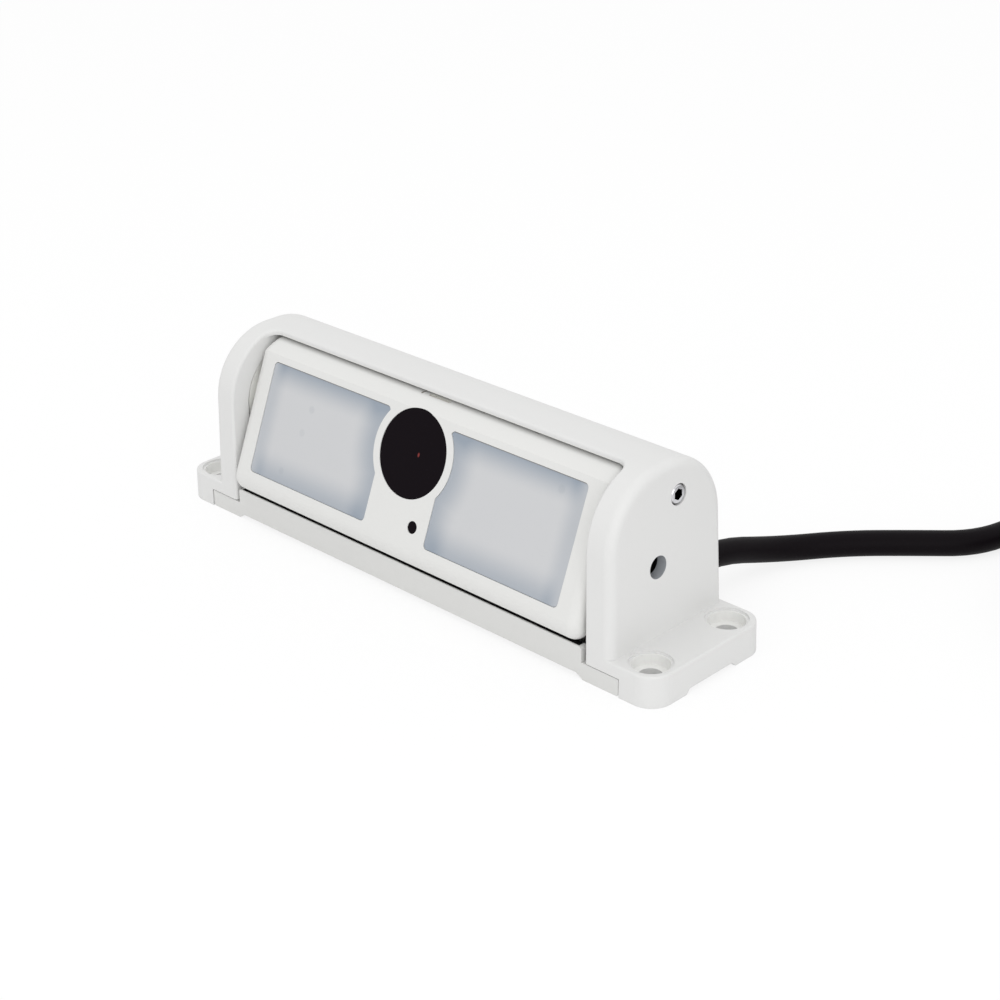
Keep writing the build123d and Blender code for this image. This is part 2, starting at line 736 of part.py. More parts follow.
save(m2_screws(board_screw_places, led_board_front, board_screw_length, 1), "board_screws")
save(m2_screws(shell_screw_places, shell_screw_seat, shell_screw_length, -1), "shell_screws")

# Processor, its heat pad and the other parts on the back of the main board
with BuildPart() as processor:
    with BuildSketch(face.offset(main_board_back)):
        with Locations((-window_mid_x, 0)):
            RectangleRounded(processor_size, processor_size, 0.5)
    extrude(amount=-processor_thick)
save(processor, "processor")

with BuildPart() as thermal_pad:
    with BuildSketch(face.offset(main_board_back - processor_thick)):
        with Locations((-window_mid_x, 0)):
            Rectangle(processor_size, processor_size)
    extrude(amount=-heat_pad_thick)
save(thermal_pad, "thermal_pad")

with BuildPart() as board_chips:
    with BuildSketch(face.offset(main_board_back)):
        with Locations((-chip_size[0] / 2 - 1, chip_size[1]), (-chip_size[0] / 2 - 1, -chip_size[1])):
            Rectangle(chip_size[0], chip_size[1])
        with Locations((driver_size[0], 0)):
            Rectangle(driver_size[0], driver_size[1])
    extrude(amount=-chip_size[2])
    with BuildSketch(face.offset(main_board_back)):
        with Locations((window_mid_x, board_screw_e[1] + 1.5)):
            Rectangle(coil_part_size[0], coil_part_size[1])
    extrude(amount=-coil_part_size[2])
save(board_chips, "board_chips")

socket_e = board_screw_e[1] - socket_size[1] - 2
with BuildPart() as lead_socket:
    with BuildSketch(face.offset(main_board_back)):
        with Locations((window_mid_x, socket_e)):
            Rectangle(socket_size[0], socket_size[1])
    extrude(amount=-socket_size[2])
    with BuildSketch(face.offset(main_board_back - socket_size[2])):
        with Locations((window_mid_x, socket_e)):
            Rectangle(socket_size[0] - 2 * socket_wall, socket_size[1] - 2 * socket_wall)
    extrude(amount=socket_size[2] - 1.5 * socket_wall, mode=Mode.SUBTRACT)
save(lead_socket, "lead_socket")

# Camera behind the round window
with BuildPart() as board_connector:
    with BuildSketch(face.offset(board_front)):
        with Locations((0, lens_e - holder_size / 2)):
            Rectangle(connector_size[0], connector_size[1])
    extrude(amount=connector_size[2])
save(board_connector, "board_connector")

camera_board_back = board_front + connector_size[2]
camera_board_front = camera_board_back + camera_board_size[2]
with BuildPart() as camera_board:
    with BuildSketch(face.offset(camera_board_back)):
        with Locations((0, lens_e)):
            RectangleRounded(camera_board_size[0], camera_board_size[1], 1)
    extrude(amount=camera_board_size[2])
save(camera_board, "camera_board")

with BuildPart() as image_sensor:
    with BuildSketch(face.offset(camera_board_front)):
        with Locations((0, lens_e)):
            Rectangle(image_sensor_size[0], image_sensor_size[1])
    extrude(amount=image_sensor_size[2])
save(image_sensor, "image_sensor")

holder_step = image_sensor_size[2] + 0.3
holder_front = camera_board_front + holder_step + 1.0
with BuildPart() as lens_holder:
    with BuildSketch(face.offset(camera_board_front)):
        with Locations((0, lens_e)):
            RectangleRounded(holder_size, holder_size, 1)
            Rectangle(image_sensor_size[0] + 1.6, image_sensor_size[1] + 1.6, mode=Mode.SUBTRACT)
    extrude(amount=holder_step)
    with BuildSketch(face.offset(camera_board_front + holder_step)):
        with Locations((0, lens_e)):
            RectangleRounded(holder_size, holder_size, 1)
            Circle(barrel_r - 1.1, mode=Mode.SUBTRACT)
    extrude(amount=holder_front - camera_board_front - holder_step)
save(lens_holder, "lens_holder")

barrel_front = wall_back - 0.4
lens_seat = front_lens_thick - 0.3
with BuildPart() as lens_barrel:
    with BuildSketch(face.offset(holder_front)):
        with Locations((0, lens_e)):
            Circle(barrel_r)
    extrude(amount=barrel_front - holder_front)
    with BuildSketch(face.offset(holder_front)):
        with Locations((0, lens_e)):
            Circle(barrel_r - 1.15)
    extrude(amount=-0.9)
    with BuildSketch(face.offset(barrel_front)):
        with Locations((0, lens_e)):
            Circle(barrel_r - 3)
    extrude(amount=-2 * barrel_r, mode=Mode.SUBTRACT)
    with BuildSketch(face.offset(barrel_front)):
        with Locations((0, lens_e)):
            Circle(front_lens_r + 0.05)
    extrude(amount=-lens_seat, mode=Mode.SUBTRACT)
save(lens_barrel, "lens_barrel")

# Front lens: flat behind and rounded in front, in the barrel's seat
with BuildPart() as front_lens:
    with BuildSketch(face.offset(barrel_front - lens_seat)):
        with Locations((0, lens_e)):
            Circle(front_lens_r)
    extrude(amount=front_lens_thick)
    fillet(front_lens.edges().filter_by(GeomType.CIRCLE).sort_by(Axis.Y)[0], front_lens_thick - 0.3)
save(front_lens, "front_lens")

with BuildPart() as lens_window:
    with BuildSketch(face.offset(face_out - lens_seat_depth)):
        with Locations((0, lens_e)):
            Circle(lens_r - window_gap)
    extrude(amount=lens_seat_depth - 0.1)
save(lens_window, "lens_window")

with BuildPart() as light_sensor_window:
    with BuildSketch(face.offset(face_out - lens_seat_depth)):
        with Locations((sensor_hole_x, sensor_hole_e)):
            Circle(sensor_hole_r - 0.05)
    extrude(amount=lens_seat_depth - 0.2)
save(light_sensor_window, "light_sensor_window")

with BuildPart() as light_sensor:
    with BuildSketch(face.offset(board_front)):
        with Locations((sensor_hole_x, sensor_hole_e + 0.9)):
            Rectangle(2.4, 2.0)
    extrude(amount=1.0)
save(light_sensor, "light_sensor")

with BuildPart() as light_pipe:
    with BuildSketch(face.offset(board_front + 1.1)):
        with Locations((sensor_hole_x, sensor_hole_e)):
            Circle(1.4)
    extrude(amount=wall_back - board_front - 1.2)
    with BuildSketch(face.offset(wall_back - 0.1)):
        with Locations((sensor_hole_x, sensor_hole_e)):
            Circle(1.0)
    extrude(amount=0.7)
save(light_pipe, "light_pipe")

# Strain relief moulded on the cable, held in the hood's back wall
exit_axis = Axis((cable_exit_x, 0, cable_exit_z), (0, 1, 0))
side_section = Plane(origin=(cable_exit_x, 0, cable_exit_z), x_dir=(0, 1, 0), z_dir=(1, 0, 0))
with BuildPart() as strain_relief:
    with BuildSketch(side_section):
        with BuildLine():
            Polyline((inner_half - relief_flange, 0), (inner_half - relief_flange, relief_flange_r),
                     (inner_half, relief_flange_r), (inner_half, cable_hole_r), (cable_pad_y, cable_hole_r),
                     (cable_pad_y, relief_flange_r), (cable_pad_y + relief_flange, relief_flange_r),
                     (cable_pad_y + relief_flange + 0.6, relief_flange_r - 0.5), (boot_end_y, boot_end_r),
                     (boot_end_y, 0), close=True)
        make_face()
    revolve(axis=exit_axis)
    with BuildSketch(Plane.XZ.offset(-boot_end_y)):
        with Locations((cable_exit_x, cable_exit_z)):
            Circle(cable_r)
    extrude(amount=boot_end_y - cable_start_y, mode=Mode.SUBTRACT)
save(strain_relief, "strain_relief")


def cord_tube(points):
    """A round cord along straight runs joined by arcs as large as the runs allow."""
    vectors = [Vector(*p) for p in points]
    radii = []
    for before, here, after in zip(vectors, vectors[1:], vectors[2:]):
        turn = (here - before).get_angle(after - here)
        shorter = min((here - before).length, (after - here).length)
        radii.append(0.45 * shorter / tan(radians(turn / 2)))
    with BuildLine() as path:
        FilletPolyline(*points, radius=radii)
    with BuildPart() as tube:
        with BuildSketch(Plane(origin=points[0], z_dir=vectors[1] - vectors[0])):
            Circle(cable_r)
        sweep(path=path.wires()[0])
    print("arc radii", [round(r, 1) for r in radii], "length", round(path.wires()[0].length, 1),
          "volume ratio", round(tube.part.volume / (pi * cable_r ** 2 * path.wires()[0].length), 4))
    return tube


cable_route = [
    (cable_exit_x, cable_start_y, cable_exit_z),
    (cable_exit_x, 37.0, cable_exit_z),
    (58.5, 54.0, 4.0),
    (67.5, 70.0, cable_r),
    (79.5, 81.5, cable_r),
    (90.5, 93.5, cable_r),
    (96.0, 108.8, cable_r),
    (110.5, 124.0, cable_r),
    (128.8, 132.5, cable_r),
]
save(cord_tube(cable_route), "cable")

# Unseen length, wound up: one closed ring of the coil's outer shape
with BuildPart() as cable_coil:
    with BuildSketch(Plane(origin=(coil_centre[0], coil_centre[1], 0), x_dir=(1, 0, 0), z_dir=(0, -1, 0))):
        with Locations((coil_mid_r, cable_d)):
            RectangleRounded(coil_turns_wide * cable_d, 2 * cable_d, 0.8 * cable_r)
    revolve(axis=Axis((coil_centre[0], coil_centre[1], 0), (0, 0, 1)))
save(cable_coil, "cable_coil")

tail_x = coil_centre[0] + coil_mid_r + cable_r
tail_route = [
    (tail_x, coil_centre[1] + tail_bend[0], 3 * cable_r),
    (tail_x, coil_centre[1] - tail_bend[1], 3 * cable_r),
    (tail_x, coil_centre[1] - tail_bend[2], plug_r),
    (tail_x, plug_start_y, plug_r),
]
save(cord_tube(tail_route), "cable_tail")

# Round plug on the cable's end: sizes along its axis and round it
plug_section = Plane(origin=(tail_x, plug_start_y, plug_r), x_dir=(0, -1, 0), z_dir=(-1, 0, 0))
plug_axis = Axis((tail_x, plug_start_y, plug_r), (0, -1, 0))
grip_start = 0.4 * plug_length
grip_end = 0.72 * plug_length
collar_end = 0.83 * plug_length
tip_r = plug_r - 3.05
with BuildPart() as plug_body:
    with BuildSketch(plug_section):
        with BuildLine():
            Polyline((0, 0), (0, cable_r + 0.95), (grip_start - 3, plug_r - 1.85), (grip_start, plug_r - 0.85),
                     (grip_end, plug_r - 0.65), (grip_end + 1.5, plug_r - 1.65), (collar_end, plug_r - 1.65),
                     (collar_end, tip_r), (plug_length, tip_r), (plug_length, 0), close=True)
        make_face()
    revolve(axis=plug_axis)
save(plug_body, "plug_body")

nut_start = grip_end + 2.0
nut_end = nut_start + plug_nut_length
with BuildPart() as plug_nut:
    with BuildSketch(plug_section):
        with BuildLine():
            Polyline((nut_start, plug_r - 1.55), (nut_start, plug_r - 0.45), (nut_start + 0.6, plug_r - 0.05),
                     (nut_end - 0.6, plug_r - 0.05), (nut_end, plug_r - 1.25), (plug_length + thread_length, plug_r - 1.25),
                     (plug_length + thread_length, plug_r - 2.25), (collar_end + 0.3, plug_r - 2.25),
                     (collar_end + 0.3, plug_r - 1.55), close=True)
        make_face()
    revolve(axis=plug_axis)
save(plug_nut, "plug_nut")

with BuildPart() as plug_pins:
    with BuildSketch(Plane(origin=(tail_x, plug_start_y - plug_length, plug_r), x_dir=(1, 0, 0), z_dir=(0, -1, 0))):
        with PolarLocations(0.6 * tip_r, 4, 45):
            Circle(0.5)
    extrude(amount=plug_pin_length)
save(plug_pins, "plug_pins")
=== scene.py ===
import json
import math

import bpy
from mathutils import Matrix, Vector


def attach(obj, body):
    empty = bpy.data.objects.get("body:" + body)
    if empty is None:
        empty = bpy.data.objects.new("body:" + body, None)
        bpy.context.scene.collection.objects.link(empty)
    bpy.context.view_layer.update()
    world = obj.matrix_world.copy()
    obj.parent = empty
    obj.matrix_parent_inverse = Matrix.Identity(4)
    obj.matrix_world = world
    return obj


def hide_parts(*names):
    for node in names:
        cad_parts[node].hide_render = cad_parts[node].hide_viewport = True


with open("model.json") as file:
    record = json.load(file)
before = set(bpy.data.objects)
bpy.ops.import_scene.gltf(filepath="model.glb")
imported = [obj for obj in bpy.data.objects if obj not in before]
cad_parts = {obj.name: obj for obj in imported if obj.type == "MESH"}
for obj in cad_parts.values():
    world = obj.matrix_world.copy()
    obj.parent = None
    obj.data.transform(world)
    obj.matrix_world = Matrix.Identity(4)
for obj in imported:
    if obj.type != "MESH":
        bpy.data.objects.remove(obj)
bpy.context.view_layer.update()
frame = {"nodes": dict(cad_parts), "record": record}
print("frame loaded")

mm = 0.001

# How the sensor head sits in the hood
head = {
    "tiltDegrees": 22.1,
    "axisHeight": 30.0 * mm,
}


def srgb(red, green, blue):
    # a colour as it looks on screen, 0 to 255, turned into the renderer's own numbers
    def one(value):
        value = value / 255
        return value / 12.92 if value <= 0.04045 else ((value + 0.055) / 1.055) ** 2.4
    return (one(red), one(green), one(blue), 1.0)


# Materials

texture = {"detail": 2, "roughness": 0.55}  # of every noise


def newMaterial(name):
    material = bpy.data.materials.new(name)
    material.use_nodes = True
    tree = material.node_tree
    tree.nodes.clear()
    output = tree.nodes.new("ShaderNodeOutputMaterial")
    shader = tree.nodes.new("ShaderNodeBsdfPrincipled")
    tree.links.new(shader.outputs["BSDF"], output.inputs["Surface"])
    return material, tree, shader


def objectCoords(tree):
    return tree.nodes.new("ShaderNodeTexCoord").outputs["Object"]


def faceCoords(tree):
    # X along the head, Y up its flat face, Z out of it
    mapping = tree.nodes.new("ShaderNodeMapping")
    tilt = math.radians(head["tiltDegrees"])
    height = head["axisHeight"]
    mapping.inputs["Rotation"].default_value = (tilt - math.pi / 2, 0, 0)
    mapping.inputs["Location"].default_value = (0, -height * math.cos(tilt), -height * math.sin(tilt))
    tree.links.new(objectCoords(tree), mapping.inputs["Vector"])
    return mapping.outputs["Vector"]


def axes(tree, vector):
    split = tree.nodes.new("ShaderNodeSeparateXYZ")
    tree.links.new(vector, split.inputs[0])
    return split.outputs


def give(tree, socket, value):
    # a plain value is set on the socket, another node's output is linked to it
    if isinstance(value, bpy.types.NodeSocket):
        tree.links.new(value, socket)
    else:
        socket.default_value = value


def calc(tree, operation, a, b=0.0, clamp=False):
    node = tree.nodes.new("ShaderNodeMath")
    node.operation = operation
    node.use_clamp = clamp
    give(tree, node.inputs[0], a)
    give(tree, node.inputs[1], b)
    return node.outputs[0]


def plus(tree, a, b):
    return calc(tree, "ADD", a, b)


def minus(tree, a, b):
    return calc(tree, "SUBTRACT", a, b)


def times(tree, a, b):
    return calc(tree, "MULTIPLY", a, b)


def turned(tree, a, b, angle):
    # the coordinates a and b, measured along axes that are turned by an angle
    first = plus(tree, times(tree, a, math.cos(angle)), times(tree, b, math.sin(angle)))
    second = minus(tree, times(tree, b, math.cos(angle)), times(tree, a, math.sin(angle)))
    return first, second


def farFrom(tree, a, b, centreA, centreB, stretch=1.0):
    # distance from a point in two coordinates, or from a line along the third
    da = minus(tree, a, centreA)
    db = times(tree, minus(tree, b, centreB), stretch)
    return calc(tree, "SQRT", plus(tree, times(tree, da, da), times(tree, db, db)))


def fade(tree, gap, near, far, amount=1.0):
    # full amount up to near, then fading away until far
    node = tree.nodes.new("ShaderNodeMapRange")
    node.interpolation_type = "SMOOTHSTEP"
    for label, value in (("From Min", near), ("From Max", far), ("To Min", amount), ("To Max", 0.0)):
        node.inputs[label].default_value = value
    tree.links.new(gap, node.inputs["Value"])
    return node.outputs["Result"]


def mixColour(tree, factor, first, second):
    node = tree.nodes.new("ShaderNodeMix")
    node.data_type = "RGBA"
    for place, value in ((0, factor), (6, first), (7, second)):
        give(tree, node.inputs[place], value)
    return node.outputs[2]


def noise(tree, vector, scale):
    node = tree.nodes.new("ShaderNodeTexNoise")
    node.inputs["Scale"].default_value = scale
    node.inputs["Detail"].default_value = texture["detail"]
    node.inputs["Roughness"].default_value = texture["roughness"]
    tree.links.new(vector, node.inputs["Vector"])
    return node.outputs["Fac"]


def driftingColour(tree, look):
    # the common colouring: one colour that drifts a little from place to place
    low, high = look["drift"]
    darker, lighter = (
        tuple(min(1, c * part) for c in look["colour"][:3]) + (1,) for part in (low, high)
    )
    return mixColour(tree, noise(tree, objectCoords(tree), look["cloudScale"]), darker, lighter)


def castingColour(tree, look):
    # the coated casting, with a bluish grey painted shade inside its side holes, paler in the feet's
    # screw recesses
    x, y, z = axes(tree, objectCoords(tree))
    inHoleShade = fade(tree, farFrom(tree, y, z, look["holeY"], look["holeZ"]),
                  look["holeRadius"] - look["holeSoft"], look["holeRadius"])
    sideX, sideY = calc(tree, "ABSOLUTE", x), calc(tree, "ABSOLUTE", y)
    fromFixing = farFrom(tree, sideX, sideY, look["fixingX"], look["fixingY"])
    inRecess, inThrough = (
        fade(tree, fromFixing, look[radius], look[radius] + look["recessSoft"])
        for radius in ("recessRadius", "throughRadius")
    )
    pale = minus(tree, inRecess, inThrough)
    colour = mixColour(tree, pale, driftingColour(tree, look), look["recessColour"])
    return mixColour(tree, inHoleShade, colour, look["holeShadeColour"])


def markedColour(tree, look):
    # the head's moulding, with painted shade on its roll under the hood's edge, and paint in its mark
    # and tick
    x, y, z = axes(tree, objectCoords(tree))
    rise = minus(tree, z, head["axisHeight"])
    across, outward = turned(tree, y, rise, math.radians(look["markDegrees"]))
    onRoll = calc(tree, "GREATER_THAN", outward, look["rollFloor"])
    fromEdge = minus(tree, look["edgeAcross"], across)
    shade = times(tree, fade(tree, fromEdge, 0.0, look["edgeReach"], look["edgeDepth"]), onRoll)
    colour = mixColour(tree, shade, driftingColour(tree, look), look["edgeShadeColour"])
    soft = look["markSoft"]
    for mark in look["marks"]:
        offX, offAcross = minus(tree, x, mark["x"]), minus(tree, across, mark["across"])
        along, side = turned(tree, offX, offAcross, math.radians(mark["turn"]))
        inLength = fade(tree, calc(tree, "ABSOLUTE", along), mark["halfLong"], mark["halfLong"] + soft)
        inWidth = fade(tree, calc(tree, "ABSOLUTE", side), mark["halfWide"], mark["halfWide"] + soft)
        inside = times(tree, inLength, inWidth)
        colour = mixColour(tree, times(tree, inside, onRoll), colour, mark["paint"])
    return colour


def lensColour(tree, look):
    # the dark window over the camera, with a small painted red glint on it
    along, up = axes(tree, faceCoords(tree))[:2]
    away = farFrom(tree, along, up, look["glintX"], look["glintUp"], look["glintStretch"])
    glint = fade(tree, away, look["glintCore"], look["glintRadius"])
    return mixColour(tree, glint, driftingColour(tree, look), look["glintColour"])


def shadedEndColour(tree, look):
    # painted shade, dark deep in the set screws' sockets and on the trunnions' ends in their pockets
    x = axes(tree, objectCoords(tree))[0]
    along = times(tree, calc(tree, "ABSOLUTE", x), look["darkSide"])
    dark = fade(tree, along, look["darkFrom"], look["darkTo"])
    return mixColour(tree, dark, driftingColour(tree, look), look["endShadeColour"])


def frostedColour(tree, look):
    # a deep frosted window, with painted shade: bluer, darker bands along its borders, faint spots of
    # the emitters behind, and a thin painted shadow line at the top
    along, up = axes(tree, faceCoords(tree))[:2]
    fromMiddle = minus(tree, calc(tree, "ABSOLUTE", along), look["middleX"])
    rise = minus(tree, up, look["middleUp"])
    fromRing = minus(tree, farFrom(tree, along, up, 0.0, look["lensUp"]), look["ringRadius"])
    inner = calc(tree, "MINIMUM", plus(tree, look["halfWidth"], fromMiddle), fromRing)
    gaps = {
        "top": minus(tree, look["halfHeight"], rise),
        "low": plus(tree, look["halfHeight"], rise),
        "inner": calc(tree, "MAXIMUM", inner, 0.0),
        "outer": minus(tree, look["halfWidth"], fromMiddle),
    }
    ease = 1.0  # the long bands die away towards the corners
    for side, amount in look["cornerEase"].items():
        corner = fade(tree, gaps[side], 0.0, look["cornerReach"], amount)
        ease = times(tree, ease, minus(tree, 1.0, corner))
    clear = 1.0
    for side, (near, far, amount) in look["bands"].items():
        band = fade(tree, gaps[side], near, far, amount)
        if side in ("top", "low"):
            band = times(tree, band, ease)
        clear = times(tree, clear, minus(tree, 1.0, band))
    depth = calc(tree, "DIVIDE", minus(tree, 1.0, clear), look["fullDepth"], clamp=True)
    colour = mixColour(tree, depth, look["middle"], look["borderShade"])
    core, rim = look["spotEdge"]
    for spotX, spotUp, radius, strength in look["spots"]:
        away = farFrom(tree, along, up, spotX, spotUp)
        spot = fade(tree, away, radius * core, radius * rim, strength)
        colour = mixColour(tree, spot, colour, look["spotShadeColour"])
    line = fade(tree, gaps["top"], look["lineCore"], look["lineWidth"], look["lineDepth"])
    return mixColour(tree, line, colour, look["shadowLineColour"])


common = {
    "colouring": driftingColour, "drift": (0.97, 1.03), "cloudScale": 25,
    "metallic": 0.0, "specular": 0.5, "coat": 0.0,
    "coords": objectCoords, "grainScale": 1400, "grain": 0.1, "grainDepth": 0.05 * mm,
}


def finishMaterial(name, look):
    # its colouring, its gloss and a fine surface grain
    look = {**common, **look}
    material, tree, shader = newMaterial(name)
    tree.links.new(look["colouring"](tree, look), shader.inputs["Base Color"])
    shader.inputs["Roughness"].default_value = look["roughness"]
    shader.inputs["Metallic"].default_value = look["metallic"]
    shader.inputs["Specular IOR Level"].default_value = look["specular"]
    shader.inputs["Coat Weight"].default_value = look["coat"]
    bump = tree.nodes.new("ShaderNodeBump")
    bump.inputs["Strength"].default_value = look["grain"]
    bump.inputs["Distance"].default_value = look["grainDepth"]
    tree.links.new(noise(tree, look["coords"](tree), look["grainScale"]), bump.inputs["Height"])
    tree.links.new(bump.outputs["Normal"], shader.inputs["Normal"])
    return material


coat = {
    "colouring": castingColour, "colour": srgb(227, 227, 226), "drift": (0.985, 1.01),
    "roughness": 0.5, "grainScale": 1500, "grain": 0.16, "grainDepth": 0.06 * mm,
    "holeY": -3.31 * mm, "holeZ": 24.95 * mm, "holeRadius": 2.8 * mm, "holeSoft": 0.1 * mm,
    # painted shade, bluish grey, inside the side holes
    "holeShadeColour": srgb(97, 109, 124),
    "fixingX": 75.0 * mm, "fixingY": 13.25 * mm, "throughRadius": 2.78 * mm, "recessRadius": 4.53 * mm,
    "recessSoft": 0.05 * mm, "recessColour": srgb(242, 242, 240),
}
trunnions = {
    "colouring": shadedEndColour, "colour": srgb(226, 226, 222), "drift": (0.985, 1.01),
    "roughness": 0.5, "grainScale": 1500, "grain": 0.16, "grainDepth": 0.06 * mm,
    # painted shade on the trunnions' ends, deep in their pockets
    "darkSide": -1.0, "darkFrom": -62.8 * mm, "darkTo": -62.5 * mm, "endShadeColour": srgb(36, 36, 38),
}
setScrews = {
    "colouring": shadedEndColour, "colour": srgb(215, 215, 218),
    "roughness": 0.14, "metallic": 1.0, "grainScale": 600, "grain": 0.03,
    # painted shade deep in the sockets
    "darkSide": 1.0, "darkFrom": 67.35 * mm, "darkTo": 67.5 * mm, "endShadeColour": srgb(30, 24, 20),
}
bezel = {
    "colouring": markedColour, "colour": srgb(227, 227, 225), "drift": (0.99, 1.005),
    "roughness": 0.45, "grainScale": 3200, "grain": 0.08, "grainDepth": 0.03 * mm,
    "markDegrees": 14.7, "rollFloor": 16.0 * mm, "markSoft": 0.08 * mm,
    # painted shade on the roll under the hood's edge
    "edgeAcross": 0.35 * mm, "edgeReach": 1.7 * mm, "edgeDepth": 0.42, "edgeShadeColour": srgb(96, 96, 92),
    "marks": [
        {"x": 0.9 * mm, "across": 0.3 * mm, "halfLong": 3.3 * mm, "halfWide": 0.5 * mm,
         "turn": 0, "paint": srgb(196, 196, 190)},
        {"x": 0.9 * mm, "across": -0.14 * mm, "halfLong": 3.4 * mm, "halfWide": 0.16 * mm,
         "turn": 0, "paint": srgb(164, 156, 149)},
        {"x": -4.75 * mm, "across": 0.3 * mm, "halfLong": 0.75 * mm, "halfWide": 0.22 * mm,
         "turn": 68, "paint": srgb(138, 132, 124)},
    ],
}
window = {
    "colouring": lensColour, "colour": srgb(17, 11, 16),
    "roughness": 0.1, "specular": 0.04, "grainScale": 700, "grain": 0.02,
    # a painted red glint on the window
    "glintX": 1.9 * mm, "glintUp": -0.3 * mm, "glintStretch": 0.6,
    "glintCore": 0.168 * mm, "glintRadius": 0.42 * mm, "glintColour": srgb(128, 56, 54),
}
frosted = {
    # painted shade: the bluer, darker bands along the window's borders
    "colouring": frostedColour, "middle": srgb(204, 205, 207), "borderShade": srgb(149, 159, 171),
    "roughness": 0.35, "specular": 0.4,
    "coords": faceCoords, "grainScale": 2600, "grain": 0.12, "grainDepth": 0.03 * mm,
    "middleX": 31.95 * mm, "middleUp": -6.26 * mm, "halfWidth": 21.55 * mm, "halfHeight": 14.49 * mm,
    "lensUp": -0.5 * mm, "ringRadius": 13.08 * mm,
    "bands": {  # where each begins to fade, where it ends, and how deep it is
        "top": (-2.0 * mm, 7.0 * mm, 0.275),
        "low": (-0.5 * mm, 8.0 * mm, 0.175),
        "inner": (0.0, 8.5 * mm, 0.175),
        "outer": (1.5 * mm, 6.5 * mm, 0.088),
    },
    "fullDepth": 0.26, "cornerReach": 4.0 * mm, "cornerEase": {"outer": 0.85, "inner": 0.55},
    # painted shadow: the thin line along the window's top edge
    "lineCore": 0.18 * mm, "lineWidth": 0.3 * mm, "lineDepth": 0.6, "shadowLineColour": srgb(132, 124, 118),
    # painted shade: the emitters behind, showing through the frosting as spots
    "spotShadeColour": srgb(150, 158, 166), "spotEdge": (0.6, 1.1),
    "spots": [  # along the head, up its face, radius, strength
        (-36.8 * mm, 0.0, 1.1 * mm, 0.16),
        (-38.3 * mm, -6.4 * mm, 1.1 * mm, 0.12),
        (-42.4 * mm, -17.5 * mm, 1.0 * mm, 0.16),
        (46.2 * mm, 4.9 * mm, 1.2 * mm, 0.18),
    ],
}
finishes = {
    "coated_casting": coat,
    "shaded_base_casting": dict(coat, colour=srgb(221, 221, 219)),  # a little darker, a painted shade of the coat for the base
    "head_white": bezel,
    "head_metal": trunnions,
    "frosted_window": frosted,
    "dark_window": window,
    "bright_screw": setScrews,
    "steel_screw": {"colour": srgb(176, 176, 178), "roughness": 0.35, "metallic": 1.0,
                    "grainScale": 900, "grain": 0.05},
    "cable_black": {"colour": srgb(13, 8, 12), "roughness": 0.5, "specular": 0.07,
                    "grainScale": 2200, "grain": 0.12},
    "plug_black": {"colour": srgb(26, 25, 27), "roughness": 0.5, "specular": 0.3,
                   "grainScale": 1800, "grain": 0.14},
    "plug_metal": {"colour": srgb(178, 178, 176), "roughness": 0.3, "metallic": 1.0,
                   "grainScale": 900, "grain": 0.05},
    "contact_gold": {"colour": srgb(222, 184, 96), "roughness": 0.25, "metallic": 1.0,
                     "grainScale": 900, "grain": 0.03},
    "seal_grey": {"colour": srgb(70, 70, 72), "roughness": 0.85, "grainScale": 2600, "grain": 0.3},
    "foam_black": {"colour": srgb(16, 15, 16), "roughness": 0.95, "specular": 0.1,
                   "grainScale": 2600, "grain": 0.3},
    "inner_white": {"colour": srgb(238, 238, 236), "roughness": 0.5},
    "board_white": {"colour": srgb(228, 228, 222), "roughness": 0.45},
    "emitter_yellow": {"colour": srgb(224, 206, 120), "roughness": 0.3},
    "board_green": {"colour": srgb(24, 92, 54), "roughness": 0.4},
    "spacer_brass": {"colour": srgb(206, 172, 98), "roughness": 0.32, "metallic": 1.0},
    "chip_black": {"colour": srgb(38, 38, 38), "roughness": 0.6},
    "pad_grey": {"colour": srgb(150, 154, 160), "roughness": 0.8},
    "socket_cream": {"colour": srgb(222, 216, 194), "roughness": 0.5},
    "sensor_dark": {"colour": srgb(30, 30, 40), "roughness": 0.2},
    "camera_black": {"colour": srgb(24, 24, 24), "roughness": 0.5},
    "lens_glass": {"colour": srgb(30, 32, 40), "roughness": 0.05, "coat": 0.5, "grain": 0.0},
    "clear_plastic": {"colour": srgb(214, 220, 224), "roughness": 0.15},
}
# the base plate wears the coat's darker, painted-shade copy
ownFinish = {"base_plate": "shaded_base_casting"}  # the other nodes take their slot's finish

materials = {name: finishMaterial(name, look) for name, look in finishes.items()}
slotOf = {s["node"]: s["material_slot"] for s in frame["record"]["subparts"]}
for nodeName, nodeObject in frame["nodes"].items():
    material = materials[ownFinish.get(nodeName, slotOf[nodeName])]
    worn = nodeObject.data.materials
    if not worn:
        worn.append(material)
    for place in range(len(worn)):
        worn[place] = material
print("materials done")

# Cable: the part's route, then the wound length, then out to the plug
cable = {
    "diameter": 6.5 * mm,
    "coilCentre": (151.6 * mm, 100.3 * mm),
    "coilRadius": 36.0 * mm,
    "coilStart": 112.5,      # degrees, where the cable joins the coil
    "coilTurns": 3,          # whole turns, before the part of one that leads out to the plug
    "stepsPerTurn": 16,
    "innerLane": 1.03,       # in half thicknesses, inwards from the coil's radius
    "upperLayer": 1.005,     # in thicknesses, above the lower layer
    "moveIn": 0.84,          # turns after which it changes to the inner lane,
    "moveUp": 1.66,          # to the upper layer
    "moveOut": 2.48,         # and back to the outer lane
    "moveTurns": 0.15,       # how long each change takes
    "plugRadius": 7.25 * mm,
    "plugStart": 66.3 * mm,
    "stepsAlong": 6, "stepsAround": 6,  # how finely the cable is drawn
}
coilX, coilY = cable["coilCentre"]
halfCable = cable["diameter"] / 2
tailX = coilX + cable["coilRadius"] + halfCable

